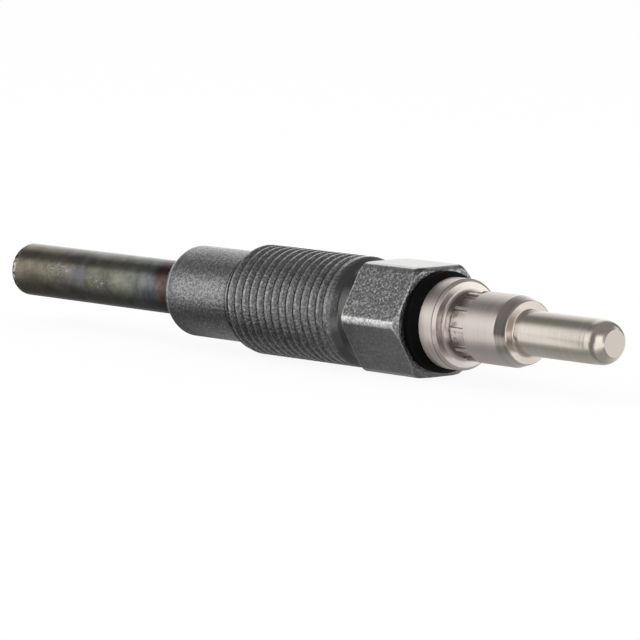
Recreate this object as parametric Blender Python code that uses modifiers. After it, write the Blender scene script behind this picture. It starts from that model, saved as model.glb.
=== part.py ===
"""Diesel glow plug with a metal glow tube, an M10 x 1 thread and a 4 mm pin terminal.

The plug lies along X, glow tube towards -X and pin towards +X, with its thread crests and so its
lowest points at z = 0. Every piece is modelled in the plug's own axis frame, where Z is the plug's
axis, z = 0 is the glow tip and -Y faces the viewer; one empty lays that frame down along X.
"""

import math

import bmesh
import bpy

MM = 0.001

# Clearances between pieces that touch on the real plug
FIT_GAP = 0.02 * MM
FACE_GAP = 0.02 * MM

# Glow tube, closed at its tip
TUBE_D = 4.95 * MM
TUBE_WALL = 0.55 * MM
TUBE_TIP_WALL = 1.1 * MM
TUBE_TIP_ROUND = 0.5 * MM
TUBE_TIP_DOME = 0.06 * MM
TUBE_INNER_ROUND = 0.5 * MM
TUBE_EXPOSED = 25.0 * MM
TUBE_SEATED = 15.5 * MM

# Shell: seat cone, pilot, thread, relief and hexagon, from front to rear
SEAT_CONE_ANGLE = math.radians(63)
SEAT_CONE_LENGTH = 1.0 * MM
PILOT_LENGTH = 8.6 * MM
PILOT_CLEARANCE = 0.24 * MM
THREAD_NOMINAL_D = 10.0 * MM
THREAD_PITCH = 1.0 * MM
THREAD_CREST_CUT = 0.05 * MM
THREAD_START = 2.05
THREAD_LENGTH = 13.1 * MM
THREAD_RUNOUT = 1.0 * MM
THREAD_LAND = 0.7 * MM
RELIEF_DEPTH = 0.05 * MM
RELIEF_LENGTH = 2.2 * MM
HEX_ACROSS_FLATS = 9.64 * MM
HEX_CORNER_ROUND = 0.7 * MM
HEX_LENGTH = 7.2 * MM
HEX_FRONT_CHAMFER = math.radians(30)
HEX_REAR_CHAMFER = math.radians(25)
HEX_FRONT_FACE_D = 9.84 * MM
HEX_REAR_FACE_D = 9.0 * MM
SHELL_BORE_D = 5.6 * MM
SHELL_SEAT_LENGTH = 15.0 * MM

# Windings inside the glow tube
HEATING_WIRE_D = 0.36 * MM
CONTROL_WIRE_D = 0.30 * MM
HEATING_TURNS = 7
CONTROL_TURNS = 9
HEATING_PITCH = 0.64 * MM
CONTROL_PITCH = 1.3 * MM
WINDING_INSULATION = 0.5 * MM
WINDING_GAP = 0.05 * MM
WINDING_BUTT_GAP = 0.15 * MM
POWDER_TIP_ROUND = 0.4 * MM
POINTS_A_TURN = 8

# Terminal rod and its seals
ROD_D = 3.3 * MM
ROD_FRONT_INSULATION = 0.65 * MM
ROD_NOSE_LENGTH = 1.6 * MM
ROD_STEP_LENGTH = 0.6 * MM
ROD_IN_NUT = 7.6 * MM
ROD_END_CHAMFER = 0.3 * MM
TUBE_SEAL_LENGTH = 2.2 * MM
O_RING_SECTION_D = 1.6 * MM
WASHER_D = 8.8 * MM
WASHER_THICKNESS = 1.3 * MM
WASHER_SPIGOT = 1.2 * MM
WASHER_EDGE = 0.2 * MM

# Terminal nut, crimped to the rod, with its contact pin
FLANGE_D = 7.9 * MM
FLANGE_THICKNESS = 1.95 * MM
FLANGE_EDGE = 0.26 * MM
NECK_D = 6.14 * MM
NECK_LENGTH = 6.5 * MM
NECK_FILLET = 0.2 * MM
NECK_GROOVE_LENGTH = 1.2 * MM
NECK_GROOVE_DEPTH = 0.26 * MM
NUT_DRILL_POINT = math.radians(30)
SHOULDER_D = 5.5 * MM
SHOULDER_LENGTH = 1.15 * MM
SHOULDER_EDGE = 0.06 * MM
PIN_D = 3.86 * MM
PIN_LENGTH = 10.2 * MM
PIN_FILLET = 0.22 * MM
PIN_NOSE_ROUND = 1.63 * MM
PIN_FACE_D = 2.34 * MM
CRIMP_COUNT = 10
CRIMP_WIDTH = 1.65 * MM
CRIMP_LENGTH = 1.9 * MM
CRIMP_DEPTH = 0.32 * MM
CRIMP_EDGE = 0.1 * MM
CRIMP_OFFSET = 0.85 * MM
CRIMP_TURN = math.radians(21)

# Depth of a metric thread, and half the width of its groove at the nominal diameter, for 1 of pitch
THREAD_DEPTH = 0.61343
HALF_GROOVE = 0.4375
HALF_THREAD_ANGLE = math.radians(30)

# How far a cutter runs past the metal that it cuts, and a shape into the one it joins
OVERRUN = 1 * MM
GROOVE_OVERRUN = 0.08 * MM

# Facets round the axis, and along the arcs of a profile
FACETS = 32
ARC_FACETS = 4
RING_FACETS = 10
PIN_NOSE_FACETS = 6
WELD = 0.001 * MM
SMOOTH_BELOW = math.radians(32)

# Direction of the first vertex of every turned piece, so that a facet faces down
vertex_cos = math.cos(math.pi / FACETS)
vertex_sin = math.sin(math.pi / FACETS)

# Radii that follow from the sizes above
tube_r = TUBE_D / 2
tube_bore_r = tube_r - TUBE_WALL
crest_r = THREAD_NOMINAL_D / 2 - THREAD_CREST_CUT
root_r = THREAD_NOMINAL_D / 2 - THREAD_DEPTH * THREAD_PITCH
pilot_r = root_r - PILOT_CLEARANCE
relief_r = root_r - RELIEF_DEPTH
rod_r = ROD_D / 2
rod_front_r = tube_bore_r - ROD_FRONT_INSULATION
winding_r = tube_bore_r - WINDING_INSULATION - HEATING_WIRE_D / 2
rod_nose_r = winding_r * math.cos(math.pi / POINTS_A_TURN) - CONTROL_WIRE_D / 2 - WINDING_GAP
seal_bore_r = rod_r + O_RING_SECTION_D + 2 * FIT_GAP
hex_front_face_r = HEX_FRONT_FACE_D / 2
hex_rear_face_r = HEX_REAR_FACE_D / 2
flange_r = FLANGE_D / 2
neck_r = NECK_D / 2
groove_r = neck_r - NECK_GROOVE_DEPTH
shoulder_r = SHOULDER_D / 2
pin_r = PIN_D / 2
pin_face_r = PIN_FACE_D / 2

# Stations along the axis, measured from the glow tip
nose_z = TUBE_EXPOSED
pilot_z = nose_z + SEAT_CONE_LENGTH
lead_z = pilot_z + PILOT_LENGTH
crest_z = lead_z + crest_r - pilot_r
thread_end_z = crest_z + THREAD_LENGTH
land_end_z = thread_end_z + THREAD_LAND
neck_z = land_end_z + crest_r - relief_r
hex_z = land_end_z + RELIEF_LENGTH
shell_end_z = hex_z + HEX_LENGTH
nut_z = shell_end_z + WASHER_THICKNESS + 2 * FACE_GAP
flange_z = nut_z + FLANGE_THICKNESS
groove_z = flange_z + NECK_GROOVE_LENGTH
shoulder_z = flange_z + NECK_LENGTH
pin_z = shoulder_z + SHOULDER_LENGTH
pin_end_z = pin_z + PIN_LENGTH

tube_end_z = nose_z + TUBE_SEATED
seat_end_z = nose_z + SHELL_SEAT_LENGTH
winding_z = TUBE_TIP_WALL + HEATING_WIRE_D / 2 + WINDING_GAP
control_z = winding_z + HEATING_TURNS * HEATING_PITCH
winding_end_z = control_z + CONTROL_TURNS * CONTROL_PITCH
rod_shoulder_z = winding_end_z + CONTROL_WIRE_D / 2 + WINDING_GAP
rod_nose_z = rod_shoulder_z - ROD_NOSE_LENGTH
seal_z = tube_end_z - TUBE_SEAL_LENGTH
rod_step_z = tube_end_z + FIT_GAP
rod_end_z = nut_z + ROD_IN_NUT
spigot_z = shell_end_z - WASHER_SPIGOT
seal_pocket_z = spigot_z - O_RING_SECTION_D - 2 * FIT_GAP


def new_collection(name):
    collection = bpy.data.collections.new(name)
    bpy.context.scene.collection.children.link(collection)
    return collection


def new_material(name, colour, metallic, roughness):
    material = bpy.data.materials.new(name)
    material.use_nodes = True
    shader = material.node_tree.nodes["Principled BSDF"]
    shader.inputs["Base Color"].default_value = (*colour, 1)
    shader.inputs["Metallic"].default_value = metallic
    shader.inputs["Roughness"].default_value = roughness
    material.diffuse_color = (*colour, 1)
    return material


def arc(centre_r, centre_z, radius, first_degrees, last_degrees, facets=ARC_FACETS):
    """Points on an arc of a profile. 0 degrees points away from the axis, 90 towards the pin."""
    angles = [
        math.radians(first_degrees + (last_degrees - first_degrees) * step / facets)
        for step in range(facets + 1)
    ]
    return [(centre_r + radius * math.cos(a), centre_z + radius * math.sin(a)) for a in angles]


def add_object(name, data, collection):
    obj = bpy.data.objects.new(name, data)
    collection.objects.link(obj)
    obj.parent = axis_frame
    return obj


def turned(name, profile, collection, closed=False):
    """A turned solid. Its profile of (radius, z) points runs from the pin side down its outer side."""
    mesh = bpy.data.meshes.new(name)
    edges = [(i, i + 1) for i in range(len(profile) - 1)]
    if closed:
        edges.append((len(profile) - 1, 0))
    mesh.from_pydata([(r * vertex_cos, r * vertex_sin, z) for r, z in profile], edges, [])
    obj = add_object(name, mesh, collection)
    screw = obj.modifiers.new("turn", "SCREW")
    screw.axis = "Z"
    screw.angle = math.tau
    screw.steps = FACETS
    screw.render_steps = FACETS
    screw.use_merge_vertices = True
    screw.merge_threshold = WELD
    return obj


def boolean(obj, tool, operation):
    modifier = obj.modifiers.new(tool.name, "BOOLEAN")
    modifier.object = tool
    modifier.operation = operation
    modifier.solver = "EXACT"


def as_cutter(obj):
    obj.hide_render = True
    obj.display_type = "WIRE"
    return obj


def finish(obj, material):
    """Gives the object its evaluated mesh, smooth across shallow edges, and its material."""
    graph = bpy.context.evaluated_depsgraph_get()
    mesh = bpy.data.meshes.new_from_object(obj.evaluated_get(graph))
    mesh.name = obj.name
    obj.modifiers.clear()
    obj.data = mesh
    mesh.shade_smooth()
    mesh.set_sharp_from_angle(angle=SMOOTH_BELOW)
    mesh.materials.clear()
    mesh.materials.append(material)
    return obj


def winding_point(turn):
    """Centre of the wire after so many turns from the tip: close turns to heat, then open ones."""
    angle = math.tau * turn
    if turn < HEATING_TURNS:
        z = winding_z + turn * HEATING_PITCH
    else:
        z = control_z + (turn - HEATING_TURNS) * CONTROL_PITCH
    return winding_r * math.cos(angle), winding_r * math.sin(angle), z


def winding(name, first_turn, last_turn, wire_r, collection):
    """A coil of wire as a mesh, with one point at every eighth of a turn and one at each end."""
    first_step = math.floor(first_turn * POINTS_A_TURN + 0.5) + 1
    last_step = math.ceil(last_turn * POINTS_A_TURN - 0.5) - 1
    turns = [step / POINTS_A_TURN for step in range(first_step, last_step + 1)]
    turns = [first_turn, *turns, last_turn]
    curve = bpy.data.curves.new(name, "CURVE")
    curve.dimensions = "3D"
    curve.twist_mode = "Z_UP"
    curve.bevel_depth = wire_r
    curve.bevel_resolution = 2
    curve.use_fill_caps = True
    spline = curve.splines.new("POLY")
    spline.points.add(len(turns) - 1)
    for point, turn in zip(spline.points, turns):
        point.co = (*winding_point(turn), 1)
    wire = add_object(name + "_path", curve, collection)
    graph = bpy.context.evaluated_depsgraph_get()
    mesh = bpy.data.meshes.new_from_object(wire.evaluated_get(graph))
    bpy.data.objects.remove(wire)
    bm = bmesh.new()
    bm.from_mesh(mesh)
    bmesh.ops.remove_doubles(bm, verts=bm.verts, dist=WELD)
    bmesh.ops.recalc_face_normals(bm, faces=bm.faces)
    bm.to_mesh(mesh)
    bm.free()
    mesh.name = name
    return add_object(name, mesh, collection)


def thread_groove():
    """One V of 60 degrees wound right-handed along the thread, rising out of the metal at its end."""
    slope = math.tan(HALF_THREAD_ANGLE)
    outer_r = THREAD_NOMINAL_D / 2 + GROOVE_OVERRUN
    outer_half = HALF_GROOVE * THREAD_PITCH + GROOVE_OVERRUN * slope
    root_half = outer_half - (outer_r - root_r) * slope
    start_z = crest_z - THREAD_START * THREAD_PITCH
    steps = math.ceil((thread_end_z - start_z) / THREAD_PITCH * FACETS)
    corners = [(root_r, -root_half), (outer_r, -outer_half), (outer_r, outer_half), (root_r, root_half)]
    bm = bmesh.new()
    section = bm.faces.new([bm.verts.new((0, -r, start_z + z)) for r, z in corners])
    bmesh.ops.spin(
        bm,
        geom=[section, *section.edges, *section.verts],
        axis=(0, 0, 1),
        cent=(0, 0, 0),
        dvec=(0, 0, THREAD_PITCH / FACETS),
        angle=math.tau * steps / FACETS,
        steps=steps,
    )
    runout_z = thread_end_z - THREAD_RUNOUT
    rise = (outer_r - root_r) / THREAD_RUNOUT
    for vert in bm.verts:
        radius = math.hypot(vert.co.x, vert.co.y)
        grown = 1 + max(0, vert.co.z - runout_z) * rise / radius
        vert.co.x *= grown
        vert.co.y *= grown
    bmesh.ops.recalc_face_normals(bm, faces=bm.faces)
    mesh = bpy.data.meshes.new("thread_groove")
    bm.to_mesh(mesh)
    bm.free()
    return as_cutter(add_object("thread_groove", mesh, cutters))


def hexagon():
    """The hexagon with rounded corners, chamfered at both ends, flats up and down."""
    flat_r = HEX_ACROSS_FLATS / 2
    bm = bmesh.new()
    bmesh.ops.create_cone(
        bm,
        cap_ends=True,
        segments=6,
        radius1=flat_r / math.cos(math.pi / 6),
        radius2=flat_r / math.cos(math.pi / 6),
        depth=HEX_LENGTH + 2 * OVERRUN,
    )
    bmesh.ops.translate(bm, vec=(0, 0, hex_z + HEX_LENGTH / 2), verts=bm.verts)
    upright = [e for e in bm.edges if abs(e.verts[0].co.z - e.verts[1].co.z) > OVERRUN]
    bmesh.ops.bevel(
        bm,
        geom=upright,
        offset=HEX_CORNER_ROUND * math.tan(math.pi / 6),
        segments=3,
        profile=0.5,
        affect="EDGES",
    )
    mesh = bpy.data.meshes.new("hexagon")
    bm.to_mesh(mesh)
    bm.free()
    prism = as_cutter(add_object("hexagon", mesh, cutters))

    wide_r = flat_r / math.cos(math.pi / 6) + OVERRUN
    front_rise = (wide_r - hex_front_face_r) * math.tan(HEX_FRONT_CHAMFER)
    rear_rise = (wide_r - hex_rear_face_r) * math.tan(HEX_REAR_CHAMFER)
    chamfers = [
        (0, shell_end_z),
        (hex_rear_face_r, shell_end_z),
        (wide_r, shell_end_z - rear_rise),
        (wide_r, hex_z + front_rise),
        (hex_front_face_r, hex_z),
        (0, hex_z),
    ]
    boolean(prism, as_cutter(turned("hexagon_chamfers", chamfers, cutters)), "INTERSECT")
    return prism


def shell_bore():
    """Press seat of the tube, free bore round the rod, and the pocket of the seal and the washer."""
    seat_r = tube_r + FIT_GAP
    bore_r = SHELL_BORE_D / 2
    profile = [
        (0, shell_end_z + OVERRUN),
        (seal_bore_r, shell_end_z + OVERRUN),
        (seal_bore_r, seal_pocket_z),
        (bore_r, seal_pocket_z),
        (bore_r, seat_end_z + bore_r - seat_r),
        (seat_r, seat_end_z),
        (seat_r, nose_z - OVERRUN),
        (0, nose_z - OVERRUN),
    ]
    return as_cutter(turned("shell_bore", profile, cutters))


def make_shell():
    cone_front_r = pilot_r - SEAT_CONE_LENGTH * math.tan(SEAT_CONE_ANGLE / 2)
    profile = [
        (0, hex_z + OVERRUN),
        (relief_r, hex_z + OVERRUN),
        (relief_r, neck_z),
        (crest_r, land_end_z),
        (crest_r, crest_z),
        (pilot_r, lead_z),
        (pilot_r, pilot_z),
        (cone_front_r, nose_z),
        (0, nose_z),
    ]
    shell = turned("shell", profile, plug)
    boolean(shell, hexagon(), "UNION")
    boolean(shell, shell_bore(), "DIFFERENCE")
    boolean(shell, thread_groove(), "DIFFERENCE")
    return finish(shell, new_material("phosphated_steel", (0.075, 0.075, 0.078), 0.85, 0.5))


def make_glow_tube():
    tip_r = tube_r - TUBE_TIP_ROUND
    inner_r = tube_bore_r - TUBE_INNER_ROUND
    profile = [
        (0, TUBE_TIP_WALL),
        *arc(inner_r, TUBE_TIP_WALL + TUBE_INNER_ROUND, TUBE_INNER_ROUND, -90, 0),
        (tube_bore_r, tube_end_z),
        (tube_r, tube_end_z),
        *arc(tip_r, TUBE_TIP_DOME + TUBE_TIP_ROUND, TUBE_TIP_ROUND, 0, -90),
        (0, 0),
    ]
    tube = turned("glow_tube", profile, plug)
    return finish(tube, new_material("heat_tinted_alloy", (0.17, 0.155, 0.13), 0.9, 0.42))


def make_windings():
    turns = HEATING_TURNS + CONTROL_TURNS
    butt = WINDING_BUTT_GAP / (math.tau * winding_r) / 2
    heating = winding("heating_coil", 0, HEATING_TURNS - butt, HEATING_WIRE_D / 2, plug)
    control = winding("control_coil", HEATING_TURNS + butt, turns, CONTROL_WIRE_D / 2, plug)
    finish(heating, new_material("resistance_alloy", (0.35, 0.33, 0.31), 1.0, 0.35))
    finish(control, new_material("nickel_wire", (0.5, 0.47, 0.42), 1.0, 0.3))


def make_insulating_powder():
    """The packed powder: a channel holds the wire, and a pocket the rod's nose and its last turns."""
    outer_r = tube_bore_r - FIT_GAP
    front_z = winding_z
    channel_r = HEATING_WIRE_D / 2 + WINDING_GAP
    powder = turned(
        "insulating_powder",
        [
            (0, seal_z - FACE_GAP),
            (outer_r, seal_z - FACE_GAP),
            *arc(outer_r - POWDER_TIP_ROUND, front_z + POWDER_TIP_ROUND, POWDER_TIP_ROUND, 0, -90),
            (0, front_z),
        ],
        plug,
    )
    nose_pocket_r = winding_r + channel_r
    front_r = rod_front_r + FIT_GAP
    pocket = [
        (0, seal_z + OVERRUN),
        (front_r, seal_z + OVERRUN),
        (front_r, rod_shoulder_z + FACE_GAP),
        (nose_pocket_r, rod_shoulder_z - FACE_GAP),
        (nose_pocket_r, rod_nose_z - FACE_GAP),
        (0, rod_nose_z - FACE_GAP),
    ]
    boolean(powder, as_cutter(turned("rod_pocket", pocket, cutters)), "DIFFERENCE")
    turns = HEATING_TURNS + CONTROL_TURNS
    channel = as_cutter(winding("wire_channel", -1 / POINTS_A_TURN, turns, channel_r, cutters))
    boolean(powder, channel, "DIFFERENCE")
    return finish(powder, new_material("packed_magnesia", (0.85, 0.84, 0.8), 0.0, 0.9))


def make_tube_seal():
    bore = rod_front_r + FIT_GAP
    outer = tube_bore_r - FIT_GAP
    profile = [(bore, tube_end_z), (outer, tube_end_z), (outer, seal_z), (bore, seal_z)]
    seal = turned("tube_seal", profile, plug, closed=True)
    return finish(seal, new_material("red_silicone", (0.25, 0.1, 0.07), 0.0, 0.7))


def make_terminal_rod():
    profile = [
        (0, rod_end_z),
        (rod_r - ROD_END_CHAMFER, rod_end_z),
        (rod_r, rod_end_z - ROD_END_CHAMFER),
        (rod_r, rod_step_z + ROD_STEP_LENGTH),
        (rod_front_r, rod_step_z),
        (rod_front_r, rod_shoulder_z + FACE_GAP),
        (rod_nose_r, rod_shoulder_z),
        (rod_nose_r, rod_nose_z),
        (0, rod_nose_z),
    ]
    rod = turned("terminal_rod", profile, plug)
    return finish(rod, new_material("plain_steel", (0.45, 0.45, 0.45), 1.0, 0.35))


def make_o_ring():
    section_r = O_RING_SECTION_D / 2
    centre_r = rod_r + FIT_GAP + section_r
    centre_z = spigot_z - FIT_GAP - section_r
    round_section = arc(centre_r, centre_z, section_r, 90, -270, RING_FACETS)[:-1]
    ring = turned("o_ring", round_section, plug, closed=True)
    return finish(ring, new_material("black_rubber", (0.02, 0.02, 0.02), 0.0, 0.6))


def make_insulating_washer():
    bore = rod_r + FIT_GAP
    spigot_r = seal_bore_r - FIT_GAP
    front_z = shell_end_z + FACE_GAP
    rear_z = front_z + WASHER_THICKNESS
    profile = [
        (bore, rear_z),
        (WASHER_D / 2 - WASHER_EDGE, rear_z),
        (WASHER_D / 2, rear_z - WASHER_EDGE),
        (WASHER_D / 2, front_z),
        (spigot_r, front_z),
        (spigot_r, spigot_z),
        (bore, spigot_z),
    ]
    washer = turned("insulating_washer", profile, plug, closed=True)
    return finish(washer, new_material("black_plastic", (0.012, 0.012, 0.013), 0.0, 0.45))


def crimp_dies():
    """Blunt dies in a ring round the neck, whose flat ends leave the pockets beside its groove."""
    inner_r = neck_r - CRIMP_DEPTH
    bm = bmesh.new()
    for die in range(CRIMP_COUNT):
        block = bmesh.ops.create_cube(bm, size=1)["verts"]
        for vert in block:
            vert.co.x *= CRIMP_WIDTH
            vert.co.y = inner_r + (CRIMP_DEPTH + OVERRUN) * (vert.co.y + 0.5)
            vert.co.z = flange_z + CRIMP_OFFSET + CRIMP_LENGTH * (vert.co.z + 0.5)
        edges = {edge for vert in block for edge in vert.link_edges}
        made = bmesh.ops.bevel(bm, geom=list(edges), offset=CRIMP_EDGE, segments=1, affect="EDGES")
        corners = {vert for face in made["faces"] for vert in face.verts}
        turn = math.tau * die / CRIMP_COUNT - CRIMP_TURN
        for vert in corners:
            x, y = vert.co.x, vert.co.y
            vert.co.x = x * math.cos(turn) - y * math.sin(turn)
            vert.co.y = x * math.sin(turn) + y * math.cos(turn)
    bmesh.ops.recalc_face_normals(bm, faces=bm.faces)
    mesh = bpy.data.meshes.new("crimp_dies")
    bm.to_mesh(mesh)
    bm.free()
    return as_cutter(add_object("crimp_dies", mesh, cutters))


def make_terminal_nut():
    bore_r = rod_r + FIT_GAP
    nose_drop = pin_r - pin_face_r
    nose_angle = math.degrees(math.acos(1 - nose_drop / PIN_NOSE_ROUND))
    nose_start_z = pin_end_z - PIN_NOSE_ROUND * math.sin(math.radians(nose_angle))
    profile = [
        (0, pin_end_z),
        *arc(pin_r - PIN_NOSE_ROUND, nose_start_z, PIN_NOSE_ROUND, nose_angle, 0, PIN_NOSE_FACETS),
        *arc(pin_r + PIN_FILLET, pin_z + PIN_FILLET, PIN_FILLET, 180, 270),
        (shoulder_r - SHOULDER_EDGE, pin_z),
        (shoulder_r, pin_z - SHOULDER_EDGE),
        (neck_r, shoulder_z),
        (neck_r, groove_z),
        (groove_r, groove_z - NECK_GROOVE_DEPTH),
        *arc(groove_r + NECK_FILLET, flange_z + NECK_FILLET, NECK_FILLET, 180, 270),
        (flange_r - FLANGE_EDGE, flange_z),
        (flange_r, flange_z - FLANGE_EDGE),
        (flange_r, nut_z),
        (bore_r, nut_z),
        (bore_r, rod_end_z + FACE_GAP),
        (0, rod_end_z + FACE_GAP + bore_r * math.tan(NUT_DRILL_POINT)),
    ]
    nut = turned("terminal_nut", profile, plug)
    boolean(nut, crimp_dies(), "DIFFERENCE")
    return finish(nut, new_material("nickel_plate", (0.62, 0.58, 0.54), 1.0, 0.3))


for old in list(bpy.data.objects):
    bpy.data.objects.remove(old)

plug = new_collection("glow_plug")
cutters = new_collection("cutters")
axis_frame = bpy.data.objects.new("plug_axis", None)
plug.objects.link(axis_frame)
axis_frame.location = (-pin_end_z / 2, 0, crest_r * vertex_cos)
axis_frame.rotation_euler = (0, math.pi / 2, 0)

make_shell()
make_glow_tube()
make_windings()
make_insulating_powder()
make_tube_seal()
make_terminal_rod()
make_o_ring()
make_insulating_washer()
make_terminal_nut()
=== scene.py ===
"""Looks of the diesel glow plug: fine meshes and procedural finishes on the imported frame."""
import math

import bmesh
import bpy
import numpy as np
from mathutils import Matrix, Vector, noise


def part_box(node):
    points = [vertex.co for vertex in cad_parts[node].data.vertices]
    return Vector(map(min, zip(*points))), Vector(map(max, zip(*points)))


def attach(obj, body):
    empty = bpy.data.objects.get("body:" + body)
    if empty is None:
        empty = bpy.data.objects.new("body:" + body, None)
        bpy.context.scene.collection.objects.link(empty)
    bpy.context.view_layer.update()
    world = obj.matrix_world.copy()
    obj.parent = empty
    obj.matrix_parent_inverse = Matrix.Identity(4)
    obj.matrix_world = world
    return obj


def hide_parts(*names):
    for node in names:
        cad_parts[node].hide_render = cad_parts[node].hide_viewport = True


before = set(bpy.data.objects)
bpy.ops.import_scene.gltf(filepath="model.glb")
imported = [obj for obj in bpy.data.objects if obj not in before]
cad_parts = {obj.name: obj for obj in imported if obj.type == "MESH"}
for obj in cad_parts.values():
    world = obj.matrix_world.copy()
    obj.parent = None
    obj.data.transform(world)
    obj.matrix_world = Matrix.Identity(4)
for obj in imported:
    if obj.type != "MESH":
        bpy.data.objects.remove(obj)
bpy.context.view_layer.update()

MM = 0.001

# The axis and the stations along it, read from the frame
shell_low, shell_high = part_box("shell")
tube_low, tube_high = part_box("glow_tube")
washer_low, washer_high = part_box("insulating_washer")
nut_low, nut_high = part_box("terminal_nut")
TIP_X = tube_low.x
AXIS_Z = (shell_low.z + shell_high.z) / 2

# The frame's turned solids have 32 facets, two of them flat against the top and bottom of their box
ACROSS_FACETS = math.cos(math.pi / 32)
CREST_R = (shell_high.z - shell_low.z) / 2 / MM
TUBE_R = (tube_high.z - tube_low.z) / 2 / MM / ACROSS_FACETS
WASHER_R = (washer_high.z - washer_low.z) / 2 / MM / ACROSS_FACETS
FLANGE_R = (nut_high.z - nut_low.z) / 2 / MM / ACROSS_FACETS

NOSE = (shell_low.x - TIP_X) / MM
SHELL_END = (shell_high.x - TIP_X) / MM
TUBE_END = (tube_high.x - TIP_X) / MM
WASHER_START = (washer_low.x - TIP_X) / MM
WASHER_END = (washer_high.x - TIP_X) / MM
NUT_START = (nut_low.x - TIP_X) / MM
PIN_END = (nut_high.x - TIP_X) / MM

# The rest of the sizes, in millimetres, as the frame's solids have them
GAP = 0.02
PITCH = 1.0
NOMINAL_R = CREST_R / ACROSS_FACETS + 0.05
ROOT_R = NOMINAL_R - 0.61343 * PITCH
PILOT_R = ROOT_R - 0.24
RELIEF_R = ROOT_R - 0.05
CONE_FRONT_R = PILOT_R - math.tan(math.radians(31.5))
PILOT_START = NOSE + 1.0
LEAD_START = PILOT_START + 8.6
CREST_START = LEAD_START + CREST_R - PILOT_R
THREAD_END = CREST_START + 13.1
LAND_END = THREAD_END + 0.7
HEX_LENGTH = 7.15
HEX_START = SHELL_END - HEX_LENGTH
HEX_FLAT_R = 4.77
HEX_CORNER_ROUND = 1.0
HEX_FRONT_FACE_R = 5.1
HEX_REAR_FACE_R = 4.95
HEX_FRONT_SLOPE = math.tan(math.radians(60))
HEX_REAR_SLOPE = 1.0
SHELL_SEAT_END = NOSE + 15.0
BORE_R = 2.8
SEAL_BORE_R = 3.29
SEAL_POCKET = SHELL_END - 2.84

TUBE_BORE_R = TUBE_R - 0.55
TUBE_TIP_WALL = 1.1

ROD_BORE_R = 1.67
ROD_END = NUT_START + 7.62
FLANGE_END = NUT_START + 1.95
NECK_R = 3.07
GROOVE_R = 2.81
GROOVE_END = FLANGE_END + 1.2
SHOULDER_START = FLANGE_END + 6.5
SHOULDER_R = 2.75
PIN_START = SHOULDER_START + 1.15
PIN_R = 1.93
PIN_FACE_R = 1.17
PIN_NOSE_ROUND = 1.63
FLANGE_CHAMFER = 0.26
CRIMPS = 10
CRIMP_TURN = math.radians(17.5)
DRILL_POINT = math.tan(math.radians(30))

# How fine the round surfaces are
STEPS = 160
THREAD_STEPS = 128
ROUND_FACETS = 5
ON_AXIS = 1e-6


def place(station, radius, angle):
    """A point of the frame, in metres: angle 0 faces the viewer and 90 degrees is up."""
    return Vector((
        TIP_X + station * MM,
        -radius * MM * math.cos(angle),
        AXIS_Z + radius * MM * math.sin(angle),
    ))


def rounded(corners, facets=ROUND_FACETS):
    """A profile of (station, radius) points from corners of (station, radius, rounding)."""
    points = []
    for index, (station, radius, rounding) in enumerate(corners):
        corner = Vector((station, radius))
        if not rounding:
            points.append(corner)
            continue
        before = (Vector(corners[index - 1][:2]) - corner).normalized()
        after = (Vector(corners[index + 1][:2]) - corner).normalized()
        half = before.angle(after) / 2
        centre = corner + (before + after).normalized() * rounding / math.sin(half)
        start = corner + before * rounding / math.tan(half) - centre
        end = corner + after * rounding / math.tan(half) - centre
        points += [centre + start.slerp(end, step / facets) * rounding for step in range(facets + 1)]
    return points


def skin(name, rings, closed):
    """A closed mesh through rings of points. A ring of one point is a pole."""
    bm = bmesh.new()
    made = [[bm.verts.new(point) for point in ring] for ring in rings]
    pairs = list(zip(made, made[1:]))
    if closed:
        pairs.append((made[-1], made[0]))
    for first, second in pairs:
        count = max(len(first), len(second))
        for i in range(count):
            j = (i + 1) % count
            corners = [first[i % len(first)], first[j % len(first)]]
            corners += [second[j % len(second)], second[i % len(second)]]
            bm.faces.new(dict.fromkeys(corners))
    bm.normal_update()
    bmesh.ops.recalc_face_normals(bm, faces=bm.faces)
    mesh = bpy.data.meshes.new(name)
    bm.to_mesh(mesh)
    bm.free()
    obj = bpy.data.objects.new(name, mesh)
    bpy.context.scene.collection.objects.link(obj)
    return obj


def turned(name, profile, steps=STEPS, warp=None):
    """A turned solid. Its profile either starts and ends on the axis or is a closed loop."""
    rings = []
    for station, radius in profile:
        if radius < ON_AXIS:
            rings.append([place(station, 0, 0)])
            continue
        angles = [math.tau * step / steps for step in range(steps)]
        if warp:
            rings.append([place(*warp(station, radius, angle), angle) for angle in angles])
        else:
            rings.append([place(station, radius, angle) for angle in angles])
    return skin(name, rings, closed=len(rings[0]) > 1)


def boolean(obj, tool, operation):
    modifier = obj.modifiers.new(tool.name, "BOOLEAN")
    modifier.object = tool
    modifier.operation = operation
    modifier.solver = "EXACT"


def apply_all(obj, tools, sharp_above):
    """Gives the object its evaluated mesh and removes the tools that shaped it."""
    graph = bpy.context.evaluated_depsgraph_get()
    mesh = bpy.data.meshes.new_from_object(obj.evaluated_get(graph))
    obj.modifiers.clear()
    obj.data = mesh
    for tool in tools:
        bpy.data.objects.remove(tool)
    shade(obj, sharp_above)


def shade(obj, sharp_above):
    obj.data.shade_smooth()
    obj.data.set_sharp_from_angle(angle=math.radians(sharp_above))


# Shell

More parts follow.
